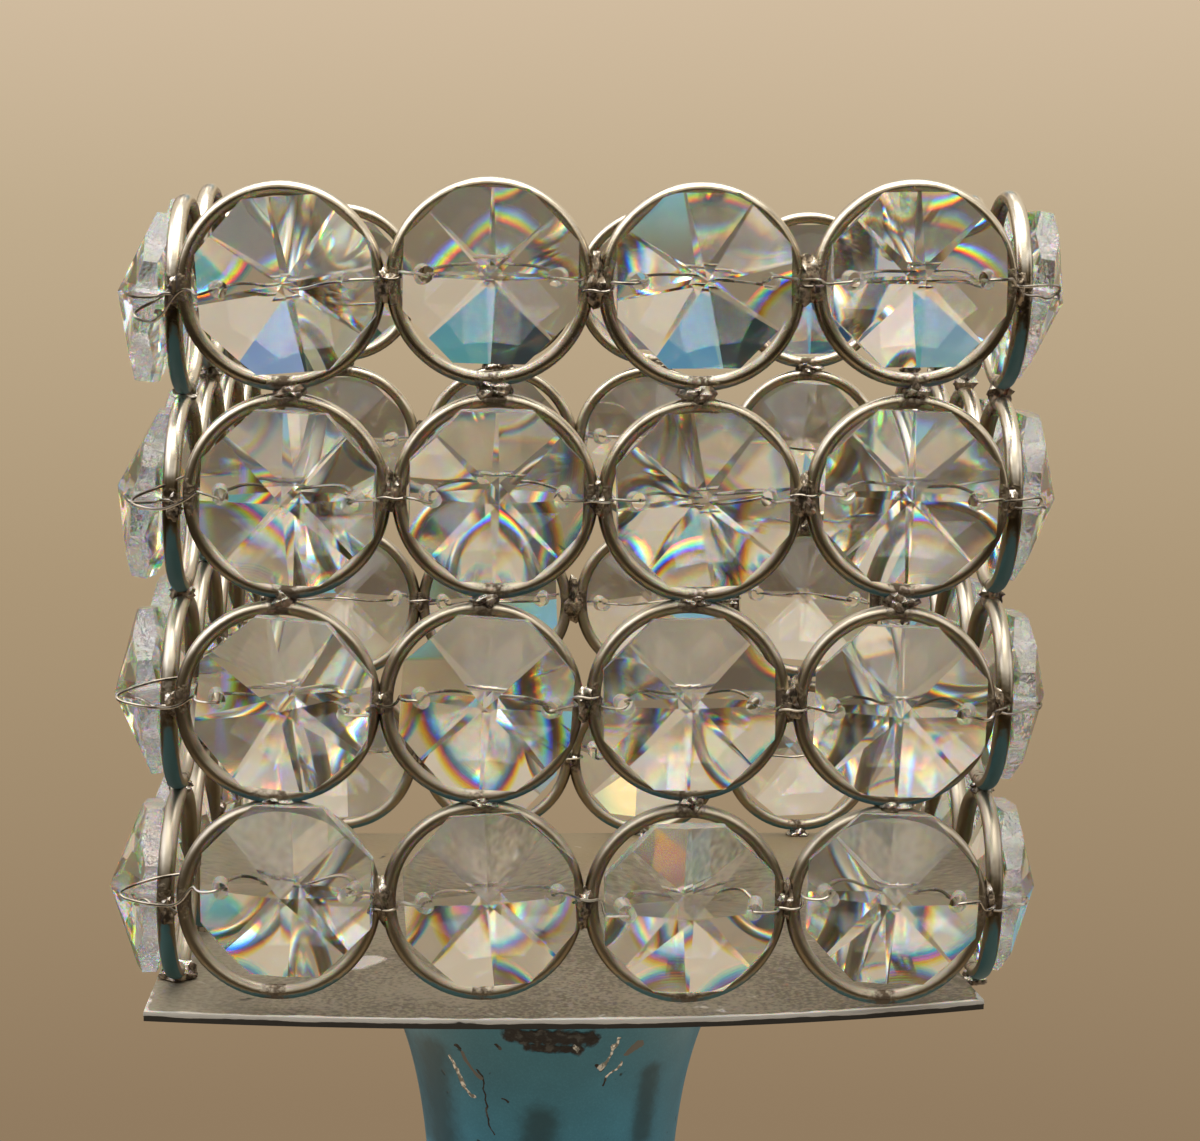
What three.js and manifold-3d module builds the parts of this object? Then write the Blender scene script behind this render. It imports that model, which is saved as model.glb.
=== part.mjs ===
// Crystal candle holder: an open square cage of soldered wire rings, each ring faced by a tied-on
// octagon crystal, on a thin square candle plate carried by a flared enamelled pedestal.
// Millimetres, +Z up, origin at the centre of the felt's underside. The front faces -Y.
import * as THREE from "three";
import { mergeVertices } from "three/addons/utils/BufferGeometryUtils.js";
import Module from "manifold-3d";

const wasm = await Module();
wasm.setup();

// Crystals: two-hole octagons whose facets fall from a middle point to the octagon's corners
const crystalFlats = 14;
const crystalThickness = 7;
const facetFall = 0.385;
const holeReach = 5.2;

// Rings and tie wire
const ringWire = 1.1; // as seen from outside the panel
const ringDepth = 1.5; // through the panel
const cornerBearing = 0.22;
const solderLap = 0.06;
const tieWire = 0.3;
const tieClearance = 0.1;
const tieBendRoom = 1.5; // in wire widths, for the sharp bend over a ring joint

// Cage
const columns = 4;
const rows = 4;
const cageShiftX = 2.9; // off the plate's middle

// Candle plate
const plateThickness = 0.8;
const plateRim = -0.4; // past the rings' outer faces: they overhang the sheet
const plateShiftX = -0.4; // off the stem's axis
const plateTurn = THREE.MathUtils.degToRad(2);

// Pedestal
const stemLength = 116;
const stemTopRadius = 21;
const stemWaistRadius = 11.2;
const stemBaseRadius = 18;
const topFlare = 9.4;
const baseFlare = 13;
const brazeSize = 1.6;
const footRadius = 46;
const footRim = 3;
const footWeb = 5.4;
const footSeatMargin = 1.5;
const feltThickness = 1.5;
const feltInset = 2;

// Foot fixing
const boltRadius = 2.5;
const boltHeadFlats = 8;
const boltHeadHeight = 3.5;
const boltReach = 16;
const threadSpare = 4;
const washerRadius = 7;
const washerThickness = 1;
const pocketMargin = 1;
const headRoom = 1.5;

// Fits
const seatGap = 0.3;
const boltClearance = 0.3;

// Facet counts and the distance at which vertices count as one
const ringSides = 16;
const stemSides = 28;
const flareSteps = 10;
const footSteps = 5;
const boltSides = 12;
const plateCells = 3;
const weldDistance = 1e-4;

// Worked out from the sizes above
const octagonHalfAngle = Math.PI / 8;
const crystalCorner = crystalFlats / 2 / Math.cos(octagonHalfAngle);
const ringBoreRadius = crystalCorner - cornerBearing;
const ringOuterRadius = ringBoreRadius + ringWire;
const columnPitch = 2 * ringOuterRadius - solderLap;
const rowPitch = 2 * ringOuterRadius + seatGap;
const rowHalfLength = ((columns - 1) * columnPitch) / 2 + ringOuterRadius;
const panelReach = rowHalfLength + ringDepth / 2 + seatGap / Math.SQRT2;
const plateSide = 2 * (panelReach + ringDepth / 2 + plateRim);

const pocketDepth = seatGap + washerThickness + seatGap + boltHeadHeight + headRoom;
const footHeight = footWeb + pocketDepth;
const footBottom = feltThickness + seatGap;
const footTop = footBottom + footHeight;
const stemBottom = footTop + seatGap;
const stemTop = stemBottom + stemLength;
const plateBottom = stemTop + seatGap;
const plateTop = plateBottom + plateThickness;
const lowestRing = plateTop + seatGap + ringOuterRadius;

// How far a crystal stands out of the plane of its ring
const pointHalf = crystalThickness / 2;
const crystalMiddle = ringDepth / 2 + seatGap + pointHalf - facetFall * crystalCorner;
const frontPoint = crystalMiddle + pointHalf;
const rearPoint = crystalMiddle - pointHalf;

const materials = {
  ring: new THREE.MeshStandardMaterial({ color: 0xa8927a, roughness: 0.35, metalness: 1 }),
  crystal: new THREE.MeshStandardMaterial({ color: 0xe6d9c8, roughness: 0.05, metalness: 0 }),
  plate: new THREE.MeshStandardMaterial({ color: 0xa39a8c, roughness: 0.5, metalness: 0.9 }),
  enamel: new THREE.MeshStandardMaterial({ color: 0x2b8f9e, roughness: 0.25, metalness: 0.6 }),
  braze: new THREE.MeshStandardMaterial({ color: 0x5a4a3c, roughness: 0.7, metalness: 0.7 }),
  steel: new THREE.MeshStandardMaterial({ color: 0xb4b6b8, roughness: 0.35, metalness: 1 }),
  felt: new THREE.MeshStandardMaterial({ color: 0x2c3a3c, roughness: 1, metalness: 0 }),
};

function named(name, geometry, material) {
  const mesh = new THREE.Mesh(geometry, material);
  mesh.name = name;
  return mesh;
}

function toSolid(geometry) {
  const bare = geometry.index ? geometry.clone() : geometry;
  bare.deleteAttribute("normal");
  bare.deleteAttribute("uv");
  const merged = mergeVertices(bare, weldDistance);
  return new wasm.Manifold(
    new wasm.Mesh({
      numProp: 3,
      vertProperties: merged.attributes.position.array,
      triVerts: new Uint32Array(merged.index.array),
    }),
  );
}

function toGeometry(solid) {
  const mesh = solid.getMesh();
  const geometry = new THREE.BufferGeometry();
  geometry.setAttribute("position", new THREE.BufferAttribute(mesh.vertProperties, 3));
  geometry.setIndex(new THREE.BufferAttribute(mesh.triVerts, 1));
  geometry.computeVertexNormals();
  return geometry;
}

function joinAll(solids) {
  return solids.reduce((whole, solid) => whole.add(solid));
}

// A body turned about Z from [radius, height] points
function turned(profile, sides) {
  const points = profile.map(([radius, height]) => new THREE.Vector2(radius, height));
  return new THREE.LatheGeometry(points, sides).rotateX(Math.PI / 2);
}

// The middle of each ring or crystal along its row
function columnPlaces() {
  return Array.from({ length: columns }, (_, column) => (column - (columns - 1) / 2) * columnPitch);
}

// One wire ring round the Y axis, with a flat of its polygon against each neighbour
function ringGeometry() {
  const toCorner = 1 / Math.cos(Math.PI / ringSides);
  const inner = ringBoreRadius * toCorner;
  const outer = ringOuterRadius * toCorner;
  const half = ringDepth / 2;
  const section = [
    [inner, -half],
    [outer, -half],
    [outer, half],
    [inner, half],
    [inner, -half],
  ].map(([radius, depth]) => new THREE.Vector2(radius, depth));
  return new THREE.LatheGeometry(section, ringSides, Math.PI / ringSides);
}

// Rings of one row, run together at their solder joints
function ringRowGeometry() {
  const rings = columnPlaces().map((x) => toSolid(ringGeometry().translate(x, 0, 0)));
  return toGeometry(joinAll(rings));
}

// A crystal round the Y axis: an octagonal prism cut by an eight-sided double cone turned half a side
function crystalSolid() {
  const prism = new THREE.CylinderGeometry(
    crystalCorner,
    crystalCorner,
    crystalThickness,
    8,
    1,
    false,
    octagonHalfAngle,
  );
  const coneRadius = pointHalf / facetFall / Math.cos(octagonHalfAngle);
  const doubleCone = new THREE.LatheGeometry(
    [
      new THREE.Vector2(0, -pointHalf),
      new THREE.Vector2(coneRadius, 0),
      new THREE.Vector2(0, pointHalf),
    ],
    8,
  );
  return toSolid(prism).intersect(toSolid(doubleCone));
}

// The tie wire's route past one crystal, as [along the row, out from the ring plane]
function tieRoute() {
  const standOff = tieClearance + tieWire / 2;
  const ridgeFall = facetFall * Math.cos(octagonHalfAngle);
  const side = crystalFlats / 2;
  const joint = [columnPitch / 2, ringDepth / 2 + seatGap + tieBendRoom * tieWire];
  const shoulder = [side + standOff, frontPoint - ridgeFall * side + standOff];
  const mouth = [holeReach, frontPoint - ridgeFall * holeReach + standOff];
  const behind = [holeReach, rearPoint - standOff];
  const rightHalf = [behind, mouth, shoulder, joint];
  const leftHalf = rightHalf.map(([along, out]) => [-along, out]).reverse();
  return [...leftHalf, ...rightHalf];
}

// A flat-bent wire: its route widened to both sides with mitred bends, then given its thickness
function bentWireGeometry(route, wire) {
  const points = route.map(([x, y]) => new THREE.Vector2(x, y));
  const side = (from, to) => {
    const along = to.clone().sub(from).normalize();
    return new THREE.Vector2(-along.y, along.x);
  };
  const offsets = points.map((point, i) => {
    const before = side(points[Math.max(i - 1, 0)], points[Math.max(i, 1)]);
    const after = side(points[Math.min(i, points.length - 2)], points[Math.min(i + 1, points.length - 1)]);
    const mitre = before.add(after).normalize();
    return mitre.multiplyScalar(wire / 2 / mitre.dot(after));
  });
  const left = points.map((point, i) => point.clone().add(offsets[i]));
  const right = points.map((point, i) => point.clone().sub(offsets[i])).reverse();
  const outline = new THREE.Shape([...left, ...right]);
  return new THREE.ExtrudeGeometry(outline, { depth: wire, bevelEnabled: false }).translate(0, 0, -wire / 2);
}

// The crystals of one row, strung on the wire that ties them over the ring joints
function crystalStrandGeometry() {
  const places = columnPlaces();
  const route = places.flatMap((x, column) => {
    const stretch = tieRoute().map(([along, out]) => [x + along, -out]);
    return column === 0 ? stretch : stretch.slice(1);
  });
  const wire = toSolid(bentWireGeometry(route, tieWire));
  const crystal = crystalSolid();
  const crystals = places.map((x) => crystal.translate([x, -crystalMiddle, 0]));
  return toGeometry(joinAll([wire, ...crystals]));
}

// Four alike panels, each standing at the cage's reach and turned to face outward
function cage() {
  const group = new THREE.Group();
  group.position.x = plateShiftX + cageShiftX;
  const rowGeometry = ringRowGeometry();
  const strandGeometry = crystalStrandGeometry();
  ["front", "right", "back", "left"].forEach((sideName, turn) => {
    const panel = new THREE.Group();
    panel.rotation.z = (turn * Math.PI) / 2;
    for (let row = 1; row <= rows; row += 1) {
      const ringRow = named(`${sideName}_ring_row_${row}`, rowGeometry, materials.ring);
      const strand = named(`${sideName}_crystal_strand_${row}`, strandGeometry, materials.crystal);
      for (const mesh of [ringRow, strand]) {
        mesh.position.set(0, -panelReach, lowestRing + (rows - row) * rowPitch);
        panel.add(mesh);
      }
    }
    group.add(panel);
  });
  return group;
}

// The thin square sheet under the cage, set slightly askew; its middle cell is the candle's seat
function candlePlate() {
  const sheet = new THREE.BoxGeometry(plateSide, plateSide, plateThickness, plateCells, plateCells, 1);
  const plate = named("candle_plate", sheet, materials.plate);
  plate.position.set(plateShiftX, 0, plateBottom + plateThickness / 2);
  plate.rotation.z = plateTurn;
  return plate;
}

// Stem radius at a height above its base: a waist with a bell at each end
function stemRadius(height) {
  const top = (stemTopRadius - stemWaistRadius) * Math.exp((height - stemLength) / topFlare);
  const base = (stemBaseRadius - stemWaistRadius) * Math.exp(-height / baseFlare);
  return stemWaistRadius + top + base;
}

// Solid cast stem with a tapped hole in its base for the foot's bolt
function pedestalStem() {
  const holeRadius = boltRadius + boltClearance;
  const threadDepth = boltReach + threadSpare;
  const heights = Array.from({ length: flareSteps + 1 }, (_, step) => {
    const share = step / flareSteps;
    return stemLength * (share - Math.sin(2 * Math.PI * share) / (2 * Math.PI));
  });
  const profile = [
    [0, threadDepth],
    [holeRadius, threadDepth],
    [holeRadius, 0],
    ...heights.map((height) => [stemRadius(height), height]),
    [0, stemLength],
  ];
  return named("pedestal_stem", turned(profile, stemSides).translate(0, 0, stemBottom), materials.enamel);
}

// The fillet of braze that holds the stem's bell under the plate
function brazeRing() {
  const inner = stemRadius(stemLength) + seatGap;
  const top = plateBottom - seatGap;
  const profile = [
    [inner, top - brazeSize],
    [inner + brazeSize, top],
    [inner, top],
    [inner, top - brazeSize],
  ];
  return named("stem_braze_ring", turned(profile, stemSides), materials.braze);
}

// Round cast foot: a low rim, a hollow curve up to the stem, and a pocket below for the bolt's head
function pedestalFoot() {
  const holeRadius = boltRadius + boltClearance;
  const pocketRadius = washerRadius + pocketMargin;
  const seatRadius = stemRadius(0) + footSeatMargin;
  const sweep = new THREE.QuadraticBezierCurve(
    new THREE.Vector2(footRadius, footRim),
    new THREE.Vector2(seatRadius, footRim),
    new THREE.Vector2(seatRadius, footHeight),
  );
  const profile = [
    [pocketRadius, 0],
    [footRadius, 0],
    ...sweep.getPoints(footSteps).map((point) => [point.x, point.y]),
    [holeRadius, footHeight],
    [holeRadius, pocketDepth],
    [pocketRadius, pocketDepth],
    [pocketRadius, 0],
  ];
  return named("pedestal_foot", turned(profile, stemSides).translate(0, 0, footBottom), materials.enamel);
}

// Washer, then hexagon bolt, up through the foot's web into the stem
function footFixing() {
  const washerTop = footBottom + pocketDepth - seatGap;
  const headTop = washerTop - washerThickness - seatGap;
  const washerHole = boltRadius + boltClearance;
  const washerProfile = [
    [washerHole, washerTop - washerThickness],
    [washerRadius, washerTop - washerThickness],
    [washerRadius, washerTop],
    [washerHole, washerTop],
    [washerHole, washerTop - washerThickness],
  ];
  const headCorner = boltHeadFlats / 2 / Math.cos(Math.PI / 6);
  const head = new THREE.CylinderGeometry(headCorner, headCorner, boltHeadHeight, 6)
    .rotateX(Math.PI / 2)
    .translate(0, 0, headTop - boltHeadHeight / 2);
  const shankBottom = headTop - boltHeadHeight / 2;
  const shankTop = stemBottom + boltReach;
  const shank = new THREE.CylinderGeometry(boltRadius, boltRadius, shankTop - shankBottom, boltSides)
    .rotateX(Math.PI / 2)
    .translate(0, 0, (shankTop + shankBottom) / 2);
  return [
    named("foot_washer", turned(washerProfile, boltSides), materials.steel),
    named("foot_bolt", toGeometry(joinAll([toSolid(head), toSolid(shank)])), materials.steel),
  ];
}

// Felt disc glued under the foot
function feltPad() {
  const radius = footRadius - feltInset;
  const disc = new THREE.CylinderGeometry(radius, radius, feltThickness, stemSides)
    .rotateX(Math.PI / 2)
    .translate(0, 0, feltThickness / 2);
  return named("felt_pad", disc, materials.felt);
}

const holder = new THREE.Group();
holder.add(feltPad(), pedestalFoot(), ...footFixing(), pedestalStem());
holder.add(brazeRing(), candlePlate(), cage());

export default holder;
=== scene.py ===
import math
from functools import reduce

import bpy
import numpy as np
from mathutils import Matrix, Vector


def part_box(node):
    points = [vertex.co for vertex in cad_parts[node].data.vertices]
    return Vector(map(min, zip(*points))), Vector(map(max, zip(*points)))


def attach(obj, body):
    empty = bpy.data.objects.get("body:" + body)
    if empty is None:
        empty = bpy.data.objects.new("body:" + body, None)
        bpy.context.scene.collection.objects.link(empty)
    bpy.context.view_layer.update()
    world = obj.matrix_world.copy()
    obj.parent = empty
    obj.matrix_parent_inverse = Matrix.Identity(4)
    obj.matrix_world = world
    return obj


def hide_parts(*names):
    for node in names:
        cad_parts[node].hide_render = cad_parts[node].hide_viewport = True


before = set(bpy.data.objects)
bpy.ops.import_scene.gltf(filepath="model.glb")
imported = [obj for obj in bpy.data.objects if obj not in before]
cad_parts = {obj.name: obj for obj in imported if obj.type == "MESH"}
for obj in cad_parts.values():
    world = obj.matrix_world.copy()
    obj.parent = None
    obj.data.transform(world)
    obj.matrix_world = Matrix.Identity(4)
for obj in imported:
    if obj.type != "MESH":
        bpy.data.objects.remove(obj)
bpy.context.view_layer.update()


# Camera
# The photograph's view: close in front of the cage, a little above its middle, looking slightly down.
MM = 0.001
PHOTO_WIDTH = 1200
PHOTO_HEIGHT = 1141
CAMERA_AT = (-3.78 * MM, -239.04 * MM, 189.31 * MM)
CAMERA_YAW = math.radians(-1.91)
CAMERA_PITCH = math.radians(-5.98)
CAMERA_ROLL = math.radians(0.68)
CAMERA_LENS = 75.25
SENSOR_WIDTH = 36
CLIP_START = 10 * MM

lens = bpy.data.cameras.new("camera")
lens.lens = CAMERA_LENS
lens.sensor_width = SENSOR_WIDTH
lens.sensor_fit = "HORIZONTAL"
lens.clip_start = CLIP_START
scene = bpy.context.scene
camera = bpy.data.objects.new("camera", lens)
camera.matrix_world = (
    Matrix.Translation(CAMERA_AT)
    @ Matrix.Rotation(CAMERA_YAW, 4, "Z")
    @ Matrix.Rotation(math.pi / 2 + CAMERA_PITCH, 4, "X")
    @ Matrix.Rotation(CAMERA_ROLL, 4, "Z")
)
scene.collection.objects.link(camera)
scene.camera = camera


def seen_on(pixels, depth):
    """Where the lines of sight through some photograph pixels meet the upright plane y = depth."""
    pixel_size = SENSOR_WIDTH / CAMERA_LENS / PHOTO_WIDTH
    across, down = np.moveaxis(np.array(pixels, float), -1, 0)
    sight = np.stack((
        (across - PHOTO_WIDTH / 2) * pixel_size,
        (PHOTO_HEIGHT / 2 - down) * pixel_size,
        -np.ones_like(across),
    ), axis=-1) @ np.array(camera.matrix_world.to_3x3()).T
    return np.array(CAMERA_AT) + sight * ((depth - CAMERA_AT[1]) / sight[..., 1:2])


def sunk_on(pixels, height):
    """Where the lines of sight through some photograph pixels meet the level plane z = height."""
    near, far = seen_on(pixels, -1.0 * MM), seen_on(pixels, 1.0 * MM)
    share = (height - near[..., 2:]) / (far[..., 2:] - near[..., 2:])
    return near + share * (far - near)


# Felt disc
# The pad glued under the foot so that the holder doesn't scratch a table: pressed wool felt,
# punched out with a slightly frayed edge.
FELT_EDGE = 0.35 * MM
FELT_FRAY = 0.06 * MM
FELT_SIDES = 180
FELT_DARK = (0.012, 0.020, 0.022)
FELT_PALE = (0.045, 0.062, 0.064)


class Value:
    """A socket in a finish's node tree. Arithmetic between values adds the Math nodes for it."""

    def __init__(self, tree, socket=None):
        self.tree = tree
        self.socket = socket

    def add(self, kind, settings, sockets, out=0):
        """A new ShaderNode: its settings are set first, then each socket takes a value or a link.

        Colours are given as three numbers, and their alpha is 1."""
        node = self.tree.nodes.new("ShaderNode" + kind)
        for name, setting in settings.items():
            if name == "stops":
                ramp = node.color_ramp.elements
                while len(ramp) < len(setting):
                    ramp.new(1.0)
                for stop, (position, colour) in zip(ramp, setting):
                    stop.position = position
                    stop.color = (*colour, 1)
            else:
                setattr(node, name, setting)
        for key, given in sockets.items():
            socket = node.inputs[key]
            if isinstance(given, Value):
                self.tree.links.new(given.socket, socket)
            else:
                socket.default_value = (*given, 1) if socket.type == "RGBA" else given
        return Value(self.tree, node.outputs[out] if len(node.outputs) else None)

    def math(self, operation, *given):
        return self.add("Math", {"operation": operation}, dict(enumerate(given)))

    def vector(self, operation, *given, out=0):
        """Maths with vectors. Those whose result is one number have it at the output Value."""
        return self.add("VectorMath", {"operation": operation}, dict(enumerate(given)), out)

    def __add__(self, other):
        return self.math("ADD", self, other)

    def __sub__(self, other):
        return self.math("SUBTRACT", self, other)

    def __rsub__(self, other):
        return self.math("SUBTRACT", other, self)

    def __mul__(self, other):
        return self.math("MULTIPLY", self, other)

    __radd__ = __add__
    __rmul__ = __mul__

    def ease(self, low, high):
        """Smooth step from 0 at low to 1 at high; falling where low is the larger."""
        steps = {0: self, 1: low, 2: high}
        return self.add("MapRange", {"interpolation_type": "SMOOTHSTEP"}, steps)

    def most(self, other):
        return self.math("MAXIMUM", self, other)

    def colour(self, at_none, at_full):
        """The colour at_none where this value is 0, at_full where it is 1."""
        return self.add("Mix", {"data_type": "RGBA"}, {0: self, 6: at_none, 7: at_full}, 2)

    def noise(self, scale, detail=3.0):
        """Cloudy noise over these coordinates, about 0.5, with this many waves to the metre."""
        return self.add("TexNoise", {}, {"Vector": self, "Scale": scale, "Detail": detail})

    def bump(self, distance, strength=1.0):
        """A normal that takes this value as a height of up to that distance."""
        return self.add("Bump", {}, {"Height": self, "Distance": distance, "Strength": strength})

    def marked(self, name):
        """The number that a piece's points store under a name."""
        return self.add("Attribute", {"attribute_name": name}, {}, "Fac")

    def cover(self, **sockets):
        """A principled shader with these sockets."""
        named = {name.replace("_", " "): given for name, given in sockets.items()}
        return self.add("BsdfPrincipled", {}, named)

    def axis(self, index):
        """One of the three parts of a vector."""
        return self.add("SeparateXYZ", {}, {0: self}, index)


def finish(surface):
    """The material of a surface: a function that gives a shader over the object's own coordinates."""
    material = bpy.data.materials.new(surface.__name__)
    material.use_nodes = True
    material.node_tree.nodes.clear()
    place = Value(material.node_tree).add("TexCoord", {}, {}, "Object")
    place.add("OutputMaterial", {}, {"Surface": surface(place)})
    return material


def around(count):
    """Angles evenly round a circle, from 0."""
    return np.linspace(0, 2 * math.pi, count, endpoint=False)


def turned(profile, sides):
    """Rings of a body turned about Z: each (radius, height) of the profile is carried round a circle."""
    turn = around(sides)
    radius, height = np.array(profile).T
    level = np.outer(height, np.ones(sides))
    return np.stack((np.outer(radius, np.cos(turn)), np.outer(radius, np.sin(turn)), level), axis=-1)


def skin(rings, looped=False):
    """Points, quads and fans of the surface over rings[i, j], closed round j.

    Quads join ring i to ring i + 1. A looped skin also joins the last ring to the first, and any
    other is closed by a fan from the middle of each end ring."""
    count, sides = rings.shape[:2]
    points = rings.reshape(-1, 3)
    index = np.arange(count * sides).reshape(count, sides)
    if looped:
        index = np.vstack((index, index[:1]))
    ahead = np.roll(index, -1, axis=1)
    quads = np.stack((index[:-1], ahead[:-1], ahead[1:], index[1:]), axis=-1).reshape(-1, 4)
    if looped:
        return points, quads, np.zeros((0, 3), int)
    first = np.full(sides, count * sides)
    fans = np.vstack((
        np.stack((first, ahead[0], index[0]), axis=-1),
        np.stack((first + 1, index[-1], ahead[-1]), axis=-1),
    ))
    return np.vstack((points, rings[[0, -1]].mean(axis=1))), quads, fans


def shape(name, points, faces, *materials):
    """A new object in the scene with a mesh of these points and faces, and these materials in order."""
    mesh = bpy.data.meshes.new(name)
    mesh.from_pydata(points, [], faces)
    for material in materials:
        mesh.materials.append(material)
    built = bpy.data.objects.new(name, mesh)
    scene.collection.objects.link(built)
    return built


def piece(name, shells, material, slot, *nodes, crease=40.0):
    """One object of the holder from some skins, smooth but for edges sharper than the crease angle.

    It rides on the holder's only body, takes the finish given and stands for the solids named. The slot is
    not used."""
    starts = np.cumsum([0] + [len(points) for points, _, _ in shells])
    points = np.concatenate([points for points, _, _ in shells])
    quads = np.concatenate([quads + start for (_, quads, _), start in zip(shells, starts)])
    fans = np.concatenate([fans + start for (_, _, fans), start in zip(shells, starts)])
    built = shape(name, points, quads.tolist() + fans.tolist(), material)
    built.data.shade_smooth()
    built.data.set_sharp_from_angle(angle=math.radians(crease))
    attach(built, "root")
    if nodes:
        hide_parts(*nodes)
    return built


@finish
def pressed_felt(place):
    fibre = place.noise(2600, 5.0)
    cloud = place.noise(160)
    colour = (fibre * 0.7 + cloud * 0.3).ease(0.35, 0.65).colour(FELT_DARK, FELT_PALE)
    return place.cover(Base_Color=colour, Roughness=0.95, Sheen_Weight=0.3, Normal=fibre.bump(0.2 * MM))


felt_low, felt_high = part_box("felt_pad")
felt_profile = [
    (felt_high.x - FELT_EDGE, felt_low.z),
    (felt_high.x, felt_low.z + FELT_EDGE),
    (felt_high.x, felt_high.z - FELT_EDGE),
    (felt_high.x - FELT_EDGE, felt_high.z),
]
felt_rings = turned(felt_profile, FELT_SIDES)
fray = np.random.default_rng(3).normal(0, FELT_FRAY, felt_rings.shape[:2])
felt_rings[..., :2] *= 1 - np.abs(fray)[..., None] / felt_high.x
piece("felt_disc", [skin(felt_rings)], pressed_felt, "felt", "felt_pad")


# Foot
# The round cast base: a low rim, a hollow curve up to the stem's seat and a pocket below for the
# bolt. It is sprayed with the same turquoise metallic enamel as the stem.
FOOT_RIM = 3 * MM
FOOT_EDGE = 0.8 * MM
FOOT_EDGE_STEPS = 6
FOOT_SWEEP_STEPS = 26
FOOT_SEAT_RADIUS = 19.5 * MM
FOOT_POCKET_RADIUS = 8 * MM
FOOT_POCKET_DEPTH = 6.6 * MM
BOLT_HOLE_RADIUS = 2.8 * MM
CAST_SIDES = 120
ENAMEL_DEEP = (0.050, 0.208, 0.294)
ENAMEL_LIGHT = (0.082, 0.326, 0.462)
ENAMEL_PIT = (0.010, 0.030, 0.034)


def enamel_coat(place):
    """Colour and height of the sprayed enamel: cloudy turquoise with fine flake and dark pinholes."""
    cloud = place.noise(70).ease(0.32, 0.68)
    flake = place.noise(5200, 2.0).ease(0.40, 0.75)
    pinhole = place.noise(620, 2.0).ease(0.70, 0.76)
    colour = (cloud * 0.7 + flake * 0.3).colour(ENAMEL_DEEP, ENAMEL_LIGHT)
    return pinhole.colour(colour, ENAMEL_PIT), place.noise(260) * 0.6 - pinhole * 0.4


@finish
def foot_enamel(place):
    colour, height = enamel_coat(place)
    return place.cover(
        Base_Color=colour,
        Metallic=0.25,
        Roughness=place.noise(300) * 0.16 + 0.22,
        Coat_Weight=0.5,
        Coat_Roughness=0.12,
        Normal=height.bump(0.05 * MM),
    )


def foot_profile(low, high):
    """The foot's section as a closed loop: flat underside, round rim edge, then a quarter sweep.

    The sweep is a quadratic curve that leaves the rim level and reaches the seat upright."""
    share = np.linspace(0, 1, FOOT_SWEEP_STEPS)
    sweep_radius = (1 - share) ** 2 * high.x + (1 - (1 - share) ** 2) * FOOT_SEAT_RADIUS
    sweep_height = low.z + FOOT_RIM + share**2 * (high.z - low.z - FOOT_RIM)
    corner = np.linspace(0, math.pi / 2, FOOT_EDGE_STEPS)
    edge_radius = high.x - FOOT_EDGE + FOOT_EDGE * np.cos(corner)
    edge_height = low.z + FOOT_RIM - FOOT_EDGE + FOOT_EDGE * np.sin(corner)
    keep = sweep_radius < high.x - FOOT_EDGE
    outside = [(FOOT_POCKET_RADIUS, low.z), (high.x - FOOT_EDGE / 2, low.z)]
    outside += list(zip(edge_radius, edge_height))
    outside += list(zip(sweep_radius[keep], sweep_height[keep]))
    pocket_top = low.z + FOOT_POCKET_DEPTH
    inside = [(BOLT_HOLE_RADIUS, high.z), (BOLT_HOLE_RADIUS, pocket_top), (FOOT_POCKET_RADIUS, pocket_top)]
    return outside + inside


foot_rings = turned(foot_profile(*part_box("pedestal_foot")), CAST_SIDES)
piece("cast_foot", [skin(foot_rings, looped=True)], foot_enamel, "enamel", "pedestal_foot")


# Foot fixing
# A washer and a hexagon bolt in the foot's pocket pull the foot up against the stem: zinc plated
# steel, turned and pressed, so they keep their plain shapes.
STEEL_BRIGHT = (0.62, 0.63, 0.64)
STEEL_DULL = (0.36, 0.37, 0.38)


@finish
def zinc_steel(place):
    cloud = place.noise(900).ease(0.35, 0.65)
    colour = cloud.colour(STEEL_DULL, STEEL_BRIGHT)
    return place.cover(Base_Color=colour, Metallic=1.0, Roughness=cloud * 0.2 + 0.25)


for fixing in ("foot_washer", "foot_bolt"):
    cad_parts[fixing].data.materials.clear()
    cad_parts[fixing].data.materials.append(zinc_steel)


# Stem
# A solid casting with a bell at each end, sprayed turquoise. By the plate the heat of the torch has
# left a bare brown patch, and on both sides of it the enamel is scraped through to the metal. Dark
# streaks are painted down it: a painted dark reflection on the right, painted shade at the left edge and
# a darker streak in the middle.
STEM_TOP_RADIUS = 21 * MM
STEM_WAIST_RADIUS = 11.2 * MM
STEM_BASE_RADIUS = 18 * MM
STEM_TOP_FLARE = 9.4 * MM
STEM_BASE_FLARE = 13 * MM
STEM_THREAD_DEPTH = 20 * MM
# The stem's rings: where each part begins and ends as shares of the length, and its count of rings
STEM_PARTS = ((0, 0.25, 24), (0.25, 0.75, 10), (0.75, 1, 39))
BARE_METAL = (0.042, 0.034, 0.029)
BARE_WORN = (0.120, 0.115, 0.105)
# The dark streaks' colour: painted reflection and painted shade on the stem
STREAK_COLOUR = (0.016, 0.056, 0.070)
SCRAPED_METAL = (0.84, 0.81, 0.75)
SCRAPED_DULL = (0.20, 0.20, 0.18)
RUBBED_METAL = (0.17, 0.16, 0.14)
STEM_FRONT = -13.5 * MM
FRONT_FADE = -2 * MM
MARK_WAVES = 420
MARK_WANDER = 1.6 * MM
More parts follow.
